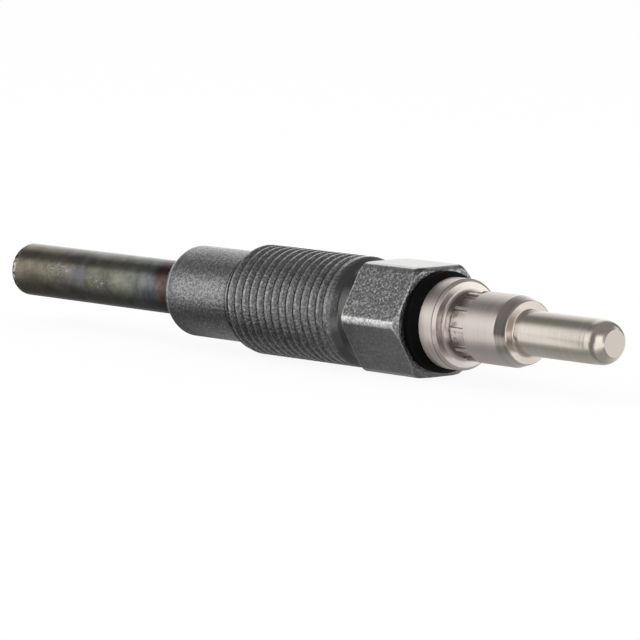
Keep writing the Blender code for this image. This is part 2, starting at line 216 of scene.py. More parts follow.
def thread_groove():
    """The groove of the thread, with its crest edges eased, wound right-handed and run out."""
    flank_slope = math.tan(math.radians(30))
    half_at_nominal = 0.4375 * PITCH
    root_round = 0.05
    ease, widening, clear, top = 0.035, 0.06, 0.01, 0.09
    run_in, run_out = 2.05 * PITCH, 0.7 * PITCH

    def half_width(radius):
        return half_at_nominal - (NOMINAL_R - radius) * flank_slope

    flare = half_width(CREST_R - ease) + widening
    half = [
        (ROOT_R, root_round),
        (ROOT_R + root_round, half_width(ROOT_R + root_round)),
        (CREST_R - ease, half_width(CREST_R - ease)),
        (CREST_R + clear, flare),
        (CREST_R + top, flare),
    ]
    section = half + [(radius, -width) for radius, width in reversed(half)]
    start = CREST_START - run_in
    end = THREAD_END + run_out
    steps = math.ceil((end - start) / PITCH * THREAD_STEPS)
    rise = (CREST_R + top - ROOT_R) / PITCH
    rings = []
    for step in range(steps + 1):
        station = start + PITCH * (step + 0.5) / THREAD_STEPS
        angle = -math.tau * (step + 0.5) / THREAD_STEPS
        lift = max(0, station - (end - PITCH)) * rise
        rings.append([place(station + width, radius + lift, angle) for radius, width in section])
    groove = skin("thread_groove", rings, closed=False)
    bm = bmesh.new()
    bm.from_mesh(groove.data)
    bmesh.ops.holes_fill(bm, edges=[e for e in bm.edges if e.is_boundary])
    bmesh.ops.recalc_face_normals(bm, faces=bm.faces)
    bm.to_mesh(groove.data)
    bm.free()
    return groove


def hexagon_radius(angle):
    """Radius of the hexagon's outline, with its corners rounded. Corners face front and back."""
    off_corner = (angle + math.pi / 6) % (math.pi / 3) - math.pi / 6
    centre_r = (HEX_FLAT_R - HEX_CORNER_ROUND) / math.cos(math.pi / 6)
    tangent = math.atan2(
        HEX_CORNER_ROUND * math.sin(math.pi / 6),
        centre_r + HEX_CORNER_ROUND * math.cos(math.pi / 6),
    )
    if abs(off_corner) > tangent:
        return HEX_FLAT_R / math.cos(math.pi / 6 - abs(off_corner))
    across = centre_r * math.sin(off_corner)
    return centre_r * math.cos(off_corner) + math.sqrt(HEX_CORNER_ROUND**2 - across**2)


def smooth_min(a, b, blend):
    """The smaller of two values, with a soft change from one to the other."""
    mixed = max(blend - abs(a - b), 0) / blend
    return min(a, b) - mixed * mixed * blend / 4


def hexagon():
    """The hexagon, with chamfered and eased ends. Its points and rings lie closer near its edges."""
    edge, blend = 0.07, 0.08
    near_corner = [0.5 * step for step in range(7)] + [4, 5.5, 7.5, 10, 13, 16.5, 20, 23.5, 27]
    offsets = sorted({-offset for offset in near_corner} | set(near_corner) | {30})
    angles = [math.radians(60 * corner + offset) for corner in range(6) for offset in offsets]

    def inset(depth):
        """How far the rounding of an end face's edge draws the outline in, at a depth behind it."""
        return edge - math.sqrt(edge**2 - (edge - depth) ** 2) if depth < edge else 0

    def ring(station):
        from_front, from_rear = station - HEX_START, SHELL_END - station
        chamfer = min(
            HEX_FRONT_FACE_R + from_front * HEX_FRONT_SLOPE,
            HEX_REAR_FACE_R + from_rear * HEX_REAR_SLOPE,
        )
        cut = inset(from_front) + inset(from_rear)
        return [
            place(station, smooth_min(hexagon_radius(angle), chamfer, blend) - cut, angle)
            for angle in angles
        ]

    near_face = [0, 0.005, 0.02, 0.045, 0.07, 0.1, 0.13, 0.16, 0.19, 0.22, 0.26, 0.3, 0.34, 0.38]
    near_face += [0.42, 0.46, 0.5, 0.6, 1.0, 2.0]
    stations = [HEX_START + depth for depth in near_face]
    stations += [SHELL_END - depth for depth in reversed(near_face)]
    core_r = CREST_R / 2
    rings = [[place(HEX_START, 0, 0)], [place(HEX_START, core_r, angle) for angle in angles]]
    rings += [ring(station) for station in stations]
    rings += [[place(SHELL_END, core_r, angle) for angle in angles], [place(SHELL_END, 0, 0)]]
    return skin("hexagon", rings, closed=False)


def shell_body():
    return turned("shell_surface", rounded([
        (NOSE, 0, 0),
        (NOSE, CONE_FRONT_R, 0.08),
        (PILOT_START, PILOT_R, 0.25),
        (LEAD_START, PILOT_R, 0.06),
        (CREST_START, CREST_R, 0.1),
        (LAND_END - 0.15, CREST_R - 0.04, 0.25),
        (LAND_END + 0.75, RELIEF_R + 0.02, 0.5),
        (HEX_START, RELIEF_R, 0),
        (HEX_START + 1, RELIEF_R, 0),
        (HEX_START + 1, 0, 0),
    ]))


def shell_bore():
    seat_r = TUBE_R + GAP
    mouth_r = seat_r + 0.25
    return turned("shell_bore", rounded([
        (NOSE - 1, 0, 0),
        (NOSE - 1, mouth_r, 0),
        (NOSE - 0.1, mouth_r, 0),
        (NOSE + 0.15, seat_r, 0),
        (SHELL_SEAT_END, seat_r, 0),
        (SHELL_SEAT_END + BORE_R - seat_r, BORE_R, 0),
        (SEAL_POCKET, BORE_R, 0),
        (SEAL_POCKET, SEAL_BORE_R, 0),
        (SHELL_END + 1, SEAL_BORE_R, 0),
        (SHELL_END + 1, 0, 0),
    ]), steps=STEPS // 2)


def make_shell():
    shell = shell_body()
    tools = [hexagon(), shell_bore(), thread_groove()]
    boolean(shell, tools[0], "UNION")
    boolean(shell, tools[1], "DIFFERENCE")
    boolean(shell, tools[2], "DIFFERENCE")
    apply_all(shell, tools, sharp_above=35)
    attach(shell, "root")
    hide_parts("shell")
    return shell


# Glow tube

def make_tube():
    """The tube, with the small dents and beads that its welded tip has."""
    weld, dent_depth, dent_scale, bead_scale = 0.9, 0.03, 3.1, 4.3
    tip_round = 0.42

    def weld_warp(station, radius, angle):
        strength = max(0, 1 - station / weld) * dent_depth
        if radius < TUBE_R * 0.6 or strength == 0:
            return station, radius
        point = Vector((station, radius * math.cos(angle), radius * math.sin(angle)))
        return (
            station + strength * noise.noise(point * dent_scale),
            radius + strength * (noise.noise(point * bead_scale) - 0.3),
        )

    tip = rounded([(0.04, TUBE_R - 0.3, 0), (0.0, TUBE_R, tip_round), (1.0, TUBE_R, 0)], facets=9)
    outer = [Vector((0.0, 0.0)), Vector((0.0, TUBE_R * 0.5)), Vector((0.01, TUBE_R * 0.7)), *tip[1:-1]]
    outer += [Vector((station, TUBE_R)) for station in np.linspace(0.5, weld, 8)]
    inner = rounded([
        (TUBE_END, TUBE_R, 0.05),
        (TUBE_END, TUBE_BORE_R, 0.05),
        (TUBE_TIP_WALL, TUBE_BORE_R, 0.5),
        (TUBE_TIP_WALL, 0, 0),
    ])
    tube = turned("glow_tube_surface", outer + inner, warp=weld_warp)
    shade(tube, 40)
    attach(tube, "root")
    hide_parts("glow_tube")
    return tube


# Insulating washer

def make_washer():
    """The washer, with a spigot in the shell's pocket and a taper down to the flange."""
    spigot_r = SEAL_BORE_R - GAP
    front = SHELL_END + GAP
    rear_taper = 0.55
    washer = turned("insulating_washer_surface", rounded([
        (WASHER_END, ROD_BORE_R, 0),
        (WASHER_END, FLANGE_R + 0.02, 0.05),
        (WASHER_END - rear_taper, WASHER_R, 0.15),
        (front, WASHER_R, 0.05),
        (front, spigot_r, 0.03),
        (WASHER_START, spigot_r, 0.1),
        (WASHER_START, ROD_BORE_R, 0),
    ]))
    shade(washer, 40)
    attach(washer, "root")
    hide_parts("insulating_washer")
    return washer


# Terminal nut

def crimp_dies():
    """The rounded punches whose ends leave the pockets in the neck."""
    width, length, depth, above = 1.65, 1.9, 0.32, 1.0
    from_flange = 0.85
    edge_round, cuts = 0.1, 5
    mesh = bpy.data.meshes.new("crimp_dies")
    dies = bmesh.new()
    for die in range(CRIMPS):
        bm = bmesh.new()
        bmesh.ops.create_cube(bm, size=1)
        for vert in bm.verts:
            vert.co.x *= length
            vert.co.y *= width
            vert.co.z *= depth + above
        bmesh.ops.bevel(bm, geom=bm.edges[:], offset=edge_round, segments=3, profile=0.5, affect="EDGES")
        for across in np.linspace(-0.3, 0.3, cuts) * width:
            whole = [*bm.verts, *bm.edges, *bm.faces]
            bmesh.ops.bisect_plane(bm, geom=whole, plane_co=(0, across, 0), plane_no=(0, 1, 0))
        turn = CRIMP_TURN + math.tau * die / CRIMPS
        for vert in bm.verts:
            station = FLANGE_END + from_flange + length / 2 + vert.co.x
            radius = NECK_R - depth + (depth + above) / 2 + vert.co.z
            vert.co = place(station, radius, turn + vert.co.y / NECK_R)
        bmesh.ops.recalc_face_normals(bm, faces=bm.faces)
        bm.to_mesh(mesh)
        dies.from_mesh(mesh)
        bm.free()
    dies.to_mesh(mesh)
    dies.free()
    dies = bpy.data.objects.new("crimp_dies", mesh)
    bpy.context.scene.collection.objects.link(dies)
    return dies


def nut_profile():
    """Flange, groove, neck, cone and pin. The pin steps down before its rounded nose."""
    step = 0.03
    nose_angle = math.acos(1 - (PIN_R - step - PIN_FACE_R) / PIN_NOSE_ROUND)
    nose_start = PIN_END - PIN_NOSE_ROUND * math.sin(nose_angle)
    nose_centre_r = PIN_R - step - PIN_NOSE_ROUND
    nose = [
        Vector((nose_start, nose_centre_r)) + PIN_NOSE_ROUND * Vector((math.sin(angle), math.cos(angle)))
        for angle in np.linspace(0, nose_angle, 14)
    ]
    groove_stations = np.linspace(FLANGE_END + 0.45, GROOVE_END - 0.36, 8)
    neck_stations = np.linspace(GROOVE_END + 0.1, SHOULDER_START - 0.3, 9)
    return [
        *rounded([
            (NUT_START, ROD_BORE_R, 0),
            (NUT_START, FLANGE_R, 0.1),
            (FLANGE_END - FLANGE_CHAMFER, FLANGE_R, 0.1),
            (FLANGE_END, FLANGE_R - FLANGE_CHAMFER, 0.06),
            (FLANGE_END, GROOVE_R, 0.38),
            *[(station, GROOVE_R, 0) for station in groove_stations],
            (GROOVE_END - 0.26, GROOVE_R, 0.03),
            (GROOVE_END, NECK_R, 0.06),
            *[(station, NECK_R, 0) for station in neck_stations],
            (SHOULDER_START, NECK_R, 0.05),
            (PIN_START - 0.07, SHOULDER_R, 0.04),
            (PIN_START, SHOULDER_R - 0.09, 0.03),
            (PIN_START, PIN_R, 0.2),
            (nose_start - 0.5, PIN_R, 0),
            (nose_start - 0.38, PIN_R - step, 0),
            (nose_start - 0.15, PIN_R - step, 0),
        ]),
        *nose,
        Vector((PIN_END, 0)),
    ]


def ragged(station, radius, angle):
    """Lumps of metal that the punches pushed into the groove beside the flange."""
    middle, half_length = GROOVE_END - 0.3, 0.35
    rise, lump_height = 0.03, 0.14
    along_scale, around_scale = 2.2, 9
    share = max(0, 1 - abs(station - middle) / half_length) if radius > PIN_R + 0.5 else 0
    around = Vector((0, math.cos(angle), math.sin(angle))) * around_scale
    lump = noise.noise(Vector((station * along_scale, around.y, around.z)))
    return station, radius + share * (rise + lump_height * lump)


def make_nut():
    nut = turned("terminal_nut_surface", [Vector((NUT_START, 0)), *nut_profile()], warp=ragged)
    bore = turned("rod_bore", rounded([
        (NUT_START - 1, 0, 0),
        (NUT_START - 1, ROD_BORE_R, 0),
        (ROD_END, ROD_BORE_R, 0),
        (ROD_END + ROD_BORE_R * DRILL_POINT, 0, 0),
    ]), steps=STEPS // 2)
    tools = [bore, crimp_dies()]
    boolean(nut, tools[0], "DIFFERENCE")
    boolean(nut, tools[1], "DIFFERENCE")
    apply_all(nut, tools, sharp_above=25)
    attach(nut, "root")
    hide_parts("terminal_nut")
    return nut


# Finishes

class Nodes:
    """Short ways to add and join the nodes of one tree."""

    def __init__(self, tree):
        self.tree = tree

    def add(self, kind, **settings):
        made = self.tree.nodes.new(kind)
        for key, value in settings.items():
            setattr(made, key, value)
        return made

    def feed(self, socket, value):
        """Gives a socket a link, a number or a colour of three."""
        if isinstance(value, bpy.types.NodeSocket):
            self.tree.links.new(value, socket)
        elif isinstance(value, tuple) and len(value) < len(socket.default_value):
            socket.default_value = (*value, 1)
        else:
            socket.default_value = value

    def math(self, operation, first, second=0.0):
        made = self.add("ShaderNodeMath", operation=operation)
        self.feed(made.inputs[0], first)
        self.feed(made.inputs[1], second)
        return made.outputs[0]

    def product(self, first, *others):
        for other in others:
            first = self.math("MULTIPLY", first, other)
        return first

    def largest(self, first, *others):
        for other in others:
            first = self.math("MAXIMUM", first, other)
        return first

    def less(self, value, share):
        """1 less this share of the value."""
        return self.math("SUBTRACT", 1.0, self.math("MULTIPLY", value, share))

    def span(self, value, first, last, shape="LINEAR"):
        """0 where the value is the first one and 1 where it is the last one."""
        made = self.add("ShaderNodeMapRange", interpolation_type=shape)
        made.inputs["From Min"].default_value = first
        made.inputs["From Max"].default_value = last
        self.feed(made.inputs["Value"], value)
        return made.outputs[0]

    def ramp(self, value, stops, first=0.0, last=1.0):
        """A colour ramp of (value, colour) stops, where a colour is a number or three."""
        made = self.add("ShaderNodeValToRGB")
        self.feed(made.inputs["Fac"], self.span(value, first, last))
        elements = made.color_ramp.elements
        elements.remove(elements[-1])
        for index, (place_on_ramp, colour) in enumerate(stops):
            position = (place_on_ramp - first) / (last - first)
            element = elements.new(position) if index else elements[0]
            element.position = position
            element.color = (*((colour,) * 3 if isinstance(colour, (int, float)) else colour), 1)
        return made.outputs["Color"]

    def band(self, value, edges, first, last, level=1.0):
        """The level between the middle two of four edges, fading to 0 at the outer two."""
        return self.ramp(value, list(zip(edges, (0.0, level, level, 0.0))), first, last)

    def mix(self, factor, first, second, blend="MIX"):
        made = self.add("ShaderNodeMix", data_type="RGBA", blend_type=blend)
        self.feed(made.inputs[0], factor)
        self.feed(made.inputs[6], first)
        self.feed(made.inputs[7], second)
        return made.outputs[2]

    def split(self, vector):
        made = self.add("ShaderNodeSeparateXYZ")
        self.feed(made.inputs[0], vector)
        return made.outputs


class Finish(Nodes):
    """A Principled material and the textures that shape it, in object coordinates."""

    def __init__(self, name, colour, metallic, roughness):
        self.material = bpy.data.materials.new(name)
        self.material.use_nodes = True
        super().__init__(self.material.node_tree)
        self.shader = self.tree.nodes["Principled BSDF"]
        self.set("Base Color", colour)
        self.set("Metallic", metallic)
        self.set("Roughness", roughness)
        self.coordinates = self.add("ShaderNodeTexCoord").outputs["Object"]
        self.x, self.y, self.z = self.split(self.coordinates)

    def set(self, name, value):
        self.feed(self.shader.inputs[name], value)

    def noise(self, scale, detail=2.0, roughness=0.5, vector=None):
        made = self.add("ShaderNodeTexNoise")
        made.inputs["Scale"].default_value = scale
        made.inputs["Detail"].default_value = detail
        made.inputs["Roughness"].default_value = roughness
        self.feed(made.inputs["Vector"], vector or self.coordinates)
        return made.outputs["Fac"]

    def stretched_noise(self, along, across, detail, roughness):
        """Noise with one scale along the axis and another across it."""
        mapping = self.add("ShaderNodeMapping")
        mapping.inputs["Scale"].default_value = (along, across, across)
        self.feed(mapping.inputs["Vector"], self.coordinates)
        return self.noise(1.0, detail, roughness, mapping.outputs[0])

    def station(self):
        """Place along the axis, in millimetres from the tip."""
        return self.math("DIVIDE", self.math("SUBTRACT", self.x, TIP_X), MM)

    def height(self):
        """Height over the axis, in millimetres."""
        return self.math("DIVIDE", self.math("SUBTRACT", self.z, AXIS_Z), MM)

    def radius(self):
        """Distance from the axis, in millimetres."""
        height = self.math("SUBTRACT", self.z, AXIS_Z)
        squares = self.math("ADD", self.math("POWER", self.y, 2.0), self.math("POWER", height, 2.0))
        return self.math("DIVIDE", self.math("SQRT", squares), MM)

    def bump(self, height, distance, strength=1.0, normal=None):
        """A bump whose height of 1 is so many metres."""
        made = self.add("ShaderNodeBump")
        made.inputs["Distance"].default_value = distance
        made.inputs["Strength"].default_value = strength
        self.feed(made.inputs["Height"], height)
        if normal:
            self.feed(made.inputs["Normal"], normal)
        return made.outputs[0]


def phosphated_steel():
    """Dark steel with a sparkling grain, a painted highlight band and painted highlight rims on the pilot,
    painted shade in the thread valleys with painted highlights on the crests, worn edges on the hexagon
    brightened as painted highlights, a painted shade line under the top flat, and a top flat painted bright
    as the reflection it shows when seen so low."""
    finish = Finish("phosphated_steel", (0.25, 0.25, 0.25), 0.95, 0.25)
    station, radius, height = finish.station(), finish.radius(), finish.height()
    on_hexagon = finish.span(station, HEX_START - 0.1, HEX_START)

    # Patches, the rings that turning left at the front of the pilot, and a painted highlight on the rim
    # there
    dark_patch, light_patch = (0.17, 0.166, 0.167), (0.21, 0.206, 0.207)
    ring_steel, rim_highlight_steel = (0.4, 0.39, 0.39), (0.5, 0.49, 0.48)
    patch_scale, ring_scales = 700, (9000, 200)
    patches = finish.span(finish.noise(patch_scale, 3.0), 0.3, 0.7)
    colour = finish.mix(patches, dark_patch, light_patch)
    rings = finish.span(finish.stretched_noise(*ring_scales, 3.0, 0.7), 0.5, 0.62)
    near_front = finish.span(station, PILOT_START + 3, PILOT_START)
    colour = finish.mix(finish.product(near_front, 0.8, rings), colour, ring_steel)
    rim_edges = (NOSE + 0.7, NOSE + 0.85, PILOT_START + 0.05, PILOT_START + 0.25)
    colour = finish.mix(finish.band(station, rim_edges, NOSE, NOSE + 2), colour, rim_highlight_steel)

    # The grain, whose light speckles are made fainter on the hexagon's lower flats as painted shade
    grain_scale = 4200
    body_grain, hexagon_grain = (0.42, 0.41, 0.41), (0.66, 0.65, 0.65)
    grain = finish.noise(grain_scale, 3.0, 0.65)
    shaded_underside = finish.product(on_hexagon, finish.span(height, 0.2, -0.5))
    speckle = finish.product(finish.span(grain, 0.45, 0.7), finish.less(shaded_underside, 0.75))
    colour = finish.mix(speckle, colour, finish.mix(on_hexagon, body_grain, hexagon_grain))

    # The painted highlight band on the pilot's middle height, broken up by the grain
    pilot_highlight_steel = (0.5, 0.49, 0.49)
    pilot_highlight_heights = (-1.7, -0.1, 1.4, 2.4)
    pilot_highlight_stations = (PILOT_START + 0.5, PILOT_START + 1.8, LEAD_START - 0.8, LEAD_START - 0.2)
    pilot_highlight = finish.product(
        finish.band(height, pilot_highlight_heights, -3, 3),
        finish.band(station, pilot_highlight_stations, NOSE, LEAD_START + 1),
        finish.ramp(grain, [(0.42, 0.12), (0.6, 0.75)]),
    )
    colour = finish.mix(pilot_highlight, colour, pilot_highlight_steel)

    # Painted shade in the thread's valleys and painted highlights on its crests, a painted highlight on the
    # pilot's rear rim, and the dark relief
    relief_steel = (0.14, 0.138, 0.136)
    thread_shade_and_highlight = finish.ramp(radius, [
        (ROOT_R, 0.12), (ROOT_R + 0.13, 0.2), (ROOT_R + 0.2, 0.8), (CREST_R - 0.08, 0.92), (CREST_R, 1.65),
    ], ROOT_R, CREST_R)
    thread_stations = (LEAD_START - 0.5, LEAD_START - 0.2, LAND_END - 0.1, LAND_END)
    threaded = finish.band(station, thread_stations, LEAD_START - 1, THREAD_END + 1)
    colour = finish.mix(threaded, colour, finish.mix(1.0, colour, thread_shade_and_highlight, "MULTIPLY"))
    rim_edges = [LEAD_START - before for before in (0.24, 0.18, 0.1, 0.04)]
    rear_rim_highlight = finish.band(station, rim_edges, LEAD_START - 1, LEAD_START + 1)
    colour = finish.mix(rear_rim_highlight, colour, rim_highlight_steel)
    relief_stations = (LAND_END - 0.1, LAND_END + 0.2, HEX_START - 0.1, HEX_START)
    relief = finish.band(station, relief_stations, LAND_END - 1, HEX_START + 1)
    colour = finish.mix(relief, colour, relief_steel)

    # Worn edges of the hexagon, brightened near white as painted highlights and kept fainter underneath
    edge_wear_and_highlight_steel = (0.95, 0.94, 0.93)
    edge_width = (0.0, 0.04, 0.1, 0.16)
    corner_start_r, corner_full_r = 5.29, 5.33

    def near_edge(depth, face_r, slope):
        """1 on a thin band of the flats beside the end face or the chamfer that is so deep there."""
        chamfer = finish.largest(finish.math("SUBTRACT", radius, face_r), 0.0)
        beyond = finish.math("SUBTRACT", depth, finish.math("DIVIDE", chamfer, slope))
        return finish.band(beyond, edge_width, 0, 0.2)

    edges = finish.largest(
        finish.span(radius, corner_start_r, corner_full_r),
        near_edge(finish.math("SUBTRACT", station, HEX_START), HEX_FRONT_FACE_R, HEX_FRONT_SLOPE),
        near_edge(finish.math("SUBTRACT", SHELL_END, station), HEX_REAR_FACE_R, HEX_REAR_SLOPE),
    )
    worn_off = finish.ramp(grain, [(0.38, 0.5), (0.55, 1.0)])
    edges = finish.product(edges, worn_off, finish.less(shaded_underside, 0.7), on_hexagon)
    colour = finish.mix(edges, colour, edge_wear_and_highlight_steel)

    # The painted shade line under the top flat, and the flat itself
    lip_shade_steel = (0.07, 0.07, 0.07)
    top_reflection_steel, top_tint, top_roughness = (0.75, 0.745, 0.74), (0.74, 0.735, 0.73), (0.12, 0.12, 0.12)
    lip_heights = [HEX_FLAT_R - below for below in (0.4, 0.3, 0.14, 0.08)]
    lip_shade = finish.product(finish.band(height, lip_heights, 4, 5), on_hexagon, 0.75)
    colour = finish.mix(lip_shade, colour, lip_shade_steel)
    # The top flat's colour is painted bright as the reflection it shows when seen so low
    top_flat = finish.product(finish.span(height, HEX_FLAT_R - 0.1, HEX_FLAT_R - 0.02), on_hexagon)
    finish.set("Base Color", finish.mix(top_flat, colour, top_reflection_steel))
    finish.set("Specular Tint", finish.mix(top_flat, (1.0, 1.0, 1.0), top_tint))
    grain_roughness = finish.ramp(grain, [(0.3, 0.26), (0.7, 0.16)])
    finish.set("Roughness", finish.mix(top_flat, grain_roughness, top_roughness))

    # The grain's relief, faint on the top flat and behind the thread
    coarse_scale, coarse_depth, grain_depth = 2600, 0.05 * MM, 0.08 * MM
    rough = finish.product(finish.less(top_flat, 0.8), finish.less(relief, 0.7))
    coarse = finish.bump(finish.product(finish.noise(coarse_scale, 2.0), rough), coarse_depth, 0.6)
    finish.set("Normal", finish.bump(finish.product(grain, rough), grain_depth, 0.9, coarse))
    return finish.material


def heat_tinted_alloy():
    """Alloy that heat has tinted olive, grey-green, blue and red-brown, with a violet spot, a few light
    scratches and the beads of the weld on the rim of its tip."""
    finish = Finish("heat_tinted_alloy", (0.2, 0.19, 0.17), 0.95, 0.3)

    def spot(station, angle, along, across):
        """1 at a place on the tube, fading to 0 at these distances from it."""
        centre = place(station, TUBE_R, math.radians(angle))
        squares = 0.0
        for axis, middle, reach in zip((finish.x, finish.y, finish.z), centre, (along, across, across)):
            off = finish.math("DIVIDE", finish.math("SUBTRACT", axis, middle), reach * MM)
            squares = finish.math("ADD", finish.math("POWER", off, 2.0), squares)
        return finish.span(squares, 1, 0, "SMOOTHSTEP")

    # The tints along the tube, whose borders wander, under a mottle
    tints = [
        (0, (0.195, 0.17, 0.125)),
        (6, (0.195, 0.175, 0.137)),
        (10, (0.185, 0.178, 0.16)),
        (14, (0.2, 0.195, 0.155)),
        (17.5, (0.215, 0.215, 0.17)),
        (20, (0.2, 0.213, 0.195)),
        (21.4, (0.155, 0.165, 0.18)),
        (22.5, (0.14, 0.09, 0.075)),
        (24, (0.085, 0.045, 0.038)),
    ]
    wander_scale, wander_width, mottle_scale = 260, 5.0, 650
    wander = finish.product(finish.math("SUBTRACT", finish.noise(wander_scale, 2.0), 0.5), wander_width)
    tint = finish.ramp(finish.math("ADD", finish.station(), wander), tints, 0, 25)
    mottle = finish.ramp(finish.noise(mottle_scale, 4.0, 0.65), [(0.32, 0.62), (0.68, 1.35)])
    colour = finish.mix(1.0, tint, mottle, "MULTIPLY")

    # Marks at (station, angle) with their reach along and across, in millimetres
    violet, violet_spot, violet_scale = (0.14, 0.14, 0.21), (10.6, 9, 1.5, 0.85), 1300
    patchy = finish.ramp(finish.noise(violet_scale, 2.0), [(0.4, 0.3), (0.6, 0.9)])
    colour = finish.mix(finish.product(spot(*violet_spot), patchy), colour, violet)
    scratched, scratch_scales = (0.44, 0.42, 0.39), (1700, 6500)
    scratched_spots = [(7.2, 17, 2.6, 0.8), (13.6, -1, 2.7, 0.7), (0.6, 15, 1.2, 3.2)]
    streaks = finish.span(finish.stretched_noise(*scratch_scales, 3.0, 0.7), 0.56, 0.62)
    where = finish.largest(*[spot(*marks) for marks in scratched_spots])
    colour = finish.mix(finish.product(streaks, where), colour, scratched)

    # Light and dark beads on the welded rim
    light_bead, dark_bead = (0.85, 0.82, 0.72), (0.04, 0.035, 0.03)
    bead_scale, bead_depth = 2700, 0.06 * MM
    at_tip = finish.span(finish.station(), 1.0, 0.5)
    weld = finish.product(at_tip, finish.span(finish.radius(), TUBE_R - 1.1, TUBE_R - 0.6))
    beads = finish.noise(bead_scale, 2.0)
    light_beads = finish.ramp(beads, [(0.52, 0.0), (0.58, 0.9)])
    dark_beads = finish.ramp(beads, [(0.38, 0.9), (0.45, 0.0)])
    colour = finish.mix(finish.product(weld, light_beads), colour, light_bead)
    colour = finish.mix(finish.product(weld, dark_beads), colour, dark_bead)
    finish.set("Base Color", colour)

    rub_scales, grain_scale, grain_depth = (300, 4500), 4200, 0.012 * MM
    rub = finish.stretched_noise(*rub_scales, 3.0, 0.6)
    finish.set("Roughness", finish.ramp(rub, [(0.3, 0.12), (0.7, 0.22)]))
    weld_bump = finish.bump(finish.product(beads, weld), bead_depth, 0.8)
    finish.set("Normal", finish.bump(finish.noise(grain_scale, 3.0), grain_depth, 0.6, weld_bump))
    return finish.material


def nickel_plate():
    """Satin nickel with the fine rings that turning left, a ringed cone painted dark as shade, painted shade
    in the pockets and dark lines of painted shade where the punches crimped the neck, dark marks among the
    torn lumps, and the flange's face painted bright as a highlight."""
    finish = Finish("nickel_plate", (0.72, 0.665, 0.6), 1.0, 0.2)
    station, radius, height = finish.station(), finish.radius(), finish.height()

    # Rings of light and dark nickel, warmer on the pin and duller on the neck
    pin_light, pin_dark = (0.82, 0.755, 0.67), (0.72, 0.66, 0.58)
    neck_light, neck_dark = (0.81, 0.72, 0.67), (0.65, 0.58, 0.545)
    ring_scales, ring_depth, neck_roughness = (7000, 150), 0.01 * MM, 0.14
    rings = finish.stretched_noise(*ring_scales, 4.0, 0.7)
    on_neck = finish.ramp(station, [
        (FLANGE_END, 1.0), (SHOULDER_START, 1.0), (PIN_START + 1, 0.0),
    ], FLANGE_END - 1, PIN_END)
    light = finish.mix(on_neck, pin_light, neck_light)
    dark = finish.mix(on_neck, pin_dark, neck_dark)
    colour = finish.mix(finish.span(rings, 0.32, 0.68), dark, light)
    dull = finish.ramp(station, [
        (SHOULDER_START - 0.3, 1.0), (SHOULDER_START, 0.0),
    ], FLANGE_END, PIN_END)
    smooth = finish.ramp(rings, [(0.3, 0.12), (0.7, 0.24)])
    finish.set("Roughness", finish.math("ADD", smooth, finish.product(dull, neck_roughness)))

    # The cone, painted dark as shade except at its lower side, which is painted lighter
    cone_shade_colour, cone_lit_colour = (0.13, 0.12, 0.105), (0.34, 0.31, 0.28)
    cone_stations = (SHOULDER_START + 0.02, SHOULDER_START + 0.1, PIN_START - 0.12, PIN_START - 0.05)
    painted_cone_shade = finish.product(
        finish.band(station, cone_stations, SHOULDER_START - 1, PIN_START + 1),
        finish.ramp(height, [(-1.8, 0.05), (-1.1, 0.68), (-0.3, 0.7), (0.5, 0.42), (2.5, 0.36)], -3, 3),
    )
    colour = finish.mix(painted_cone_shade, colour, finish.mix(finish.span(rings, 0.38, 0.62), cone_shade_colour, cone_lit_colour))

    # Painted shade in the pockets above and below the middle, the flange's flat face painted bright as a
    # highlight, and the pin's flat end face
    pocket_shade_brown, flange_face_highlight, pin_face = (0.16, 0.14, 0.13), (0.95, 0.885, 0.83), (0.63, 0.575, 0.52)
    pocket_shade_stations = (FLANGE_END + 0.05, FLANGE_END + 0.3, FLANGE_END + 1.2, FLANGE_END + 2.4)
    pocket_shade = finish.product(
        finish.span(finish.math("ABSOLUTE", height), 0.8, 1.4),
        finish.band(station, pocket_shade_stations, FLANGE_END, FLANGE_END + 4, level=0.85),
        finish.span(radius, NECK_R - 0.02, NECK_R - 0.1),
    )
    colour = finish.mix(pocket_shade, colour, pocket_shade_brown)
    # The flange's flat face is painted bright as a highlight
    on_flange_face = finish.product(
        finish.span(radius, NECK_R, NECK_R + 0.12),
        finish.span(station, FLANGE_END - 0.03, FLANGE_END - 0.01),
    )
    colour = finish.mix(on_flange_face, colour, flange_face_highlight)
    colour = finish.mix(finish.span(station, PIN_END - 0.05, PIN_END - 0.02), colour, pin_face)

    # Dark lines of painted shade on the pockets' walls and on the flange's edge, and dark marks among the
    # torn lumps
    shade_and_torn_brown, torn_scale = (0.2, 0.17, 0.15), 2400
    pocket_stations = (FLANGE_END + 0.6, FLANGE_END + 0.7, FLANGE_END + 2.9, FLANGE_END + 3)
    wall_radii = [NECK_R - below for below in (0.31, 0.26, 0.1, 0.05)]
    pocket_wall_shade = finish.product(
        finish.band(station, pocket_stations, FLANGE_END, FLANGE_END + 4),
        finish.band(radius, wall_radii, NECK_R - 1, NECK_R),
    )
    edge_stations = [FLANGE_END - before for before in (0.37, 0.31, 0.27, 0.22)]
    flange_edge_shade = finish.product(
        finish.band(station, edge_stations, FLANGE_END - 1, FLANGE_END),
        finish.span(radius, FLANGE_R - 0.2, FLANGE_R - 0.15),
    )
    torn_stations = (GROOVE_END - 0.55, GROOVE_END - 0.35, GROOVE_END + 0.15, GROOVE_END + 0.6)
    torn = finish.product(
        finish.ramp(finish.noise(torn_scale, 3.0), [(0.5, 0.0), (0.58, 0.8)]),
        finish.band(station, torn_stations, FLANGE_END, FLANGE_END + 4),
    )
    dark_lines = finish.product(finish.largest(pocket_wall_shade, flange_edge_shade, torn), 0.75)
    finish.set("Base Color", finish.mix(dark_lines, colour, shade_and_torn_brown))
    finish.set("Normal", finish.bump(rings, ring_depth, 0.8))
    return finish.material


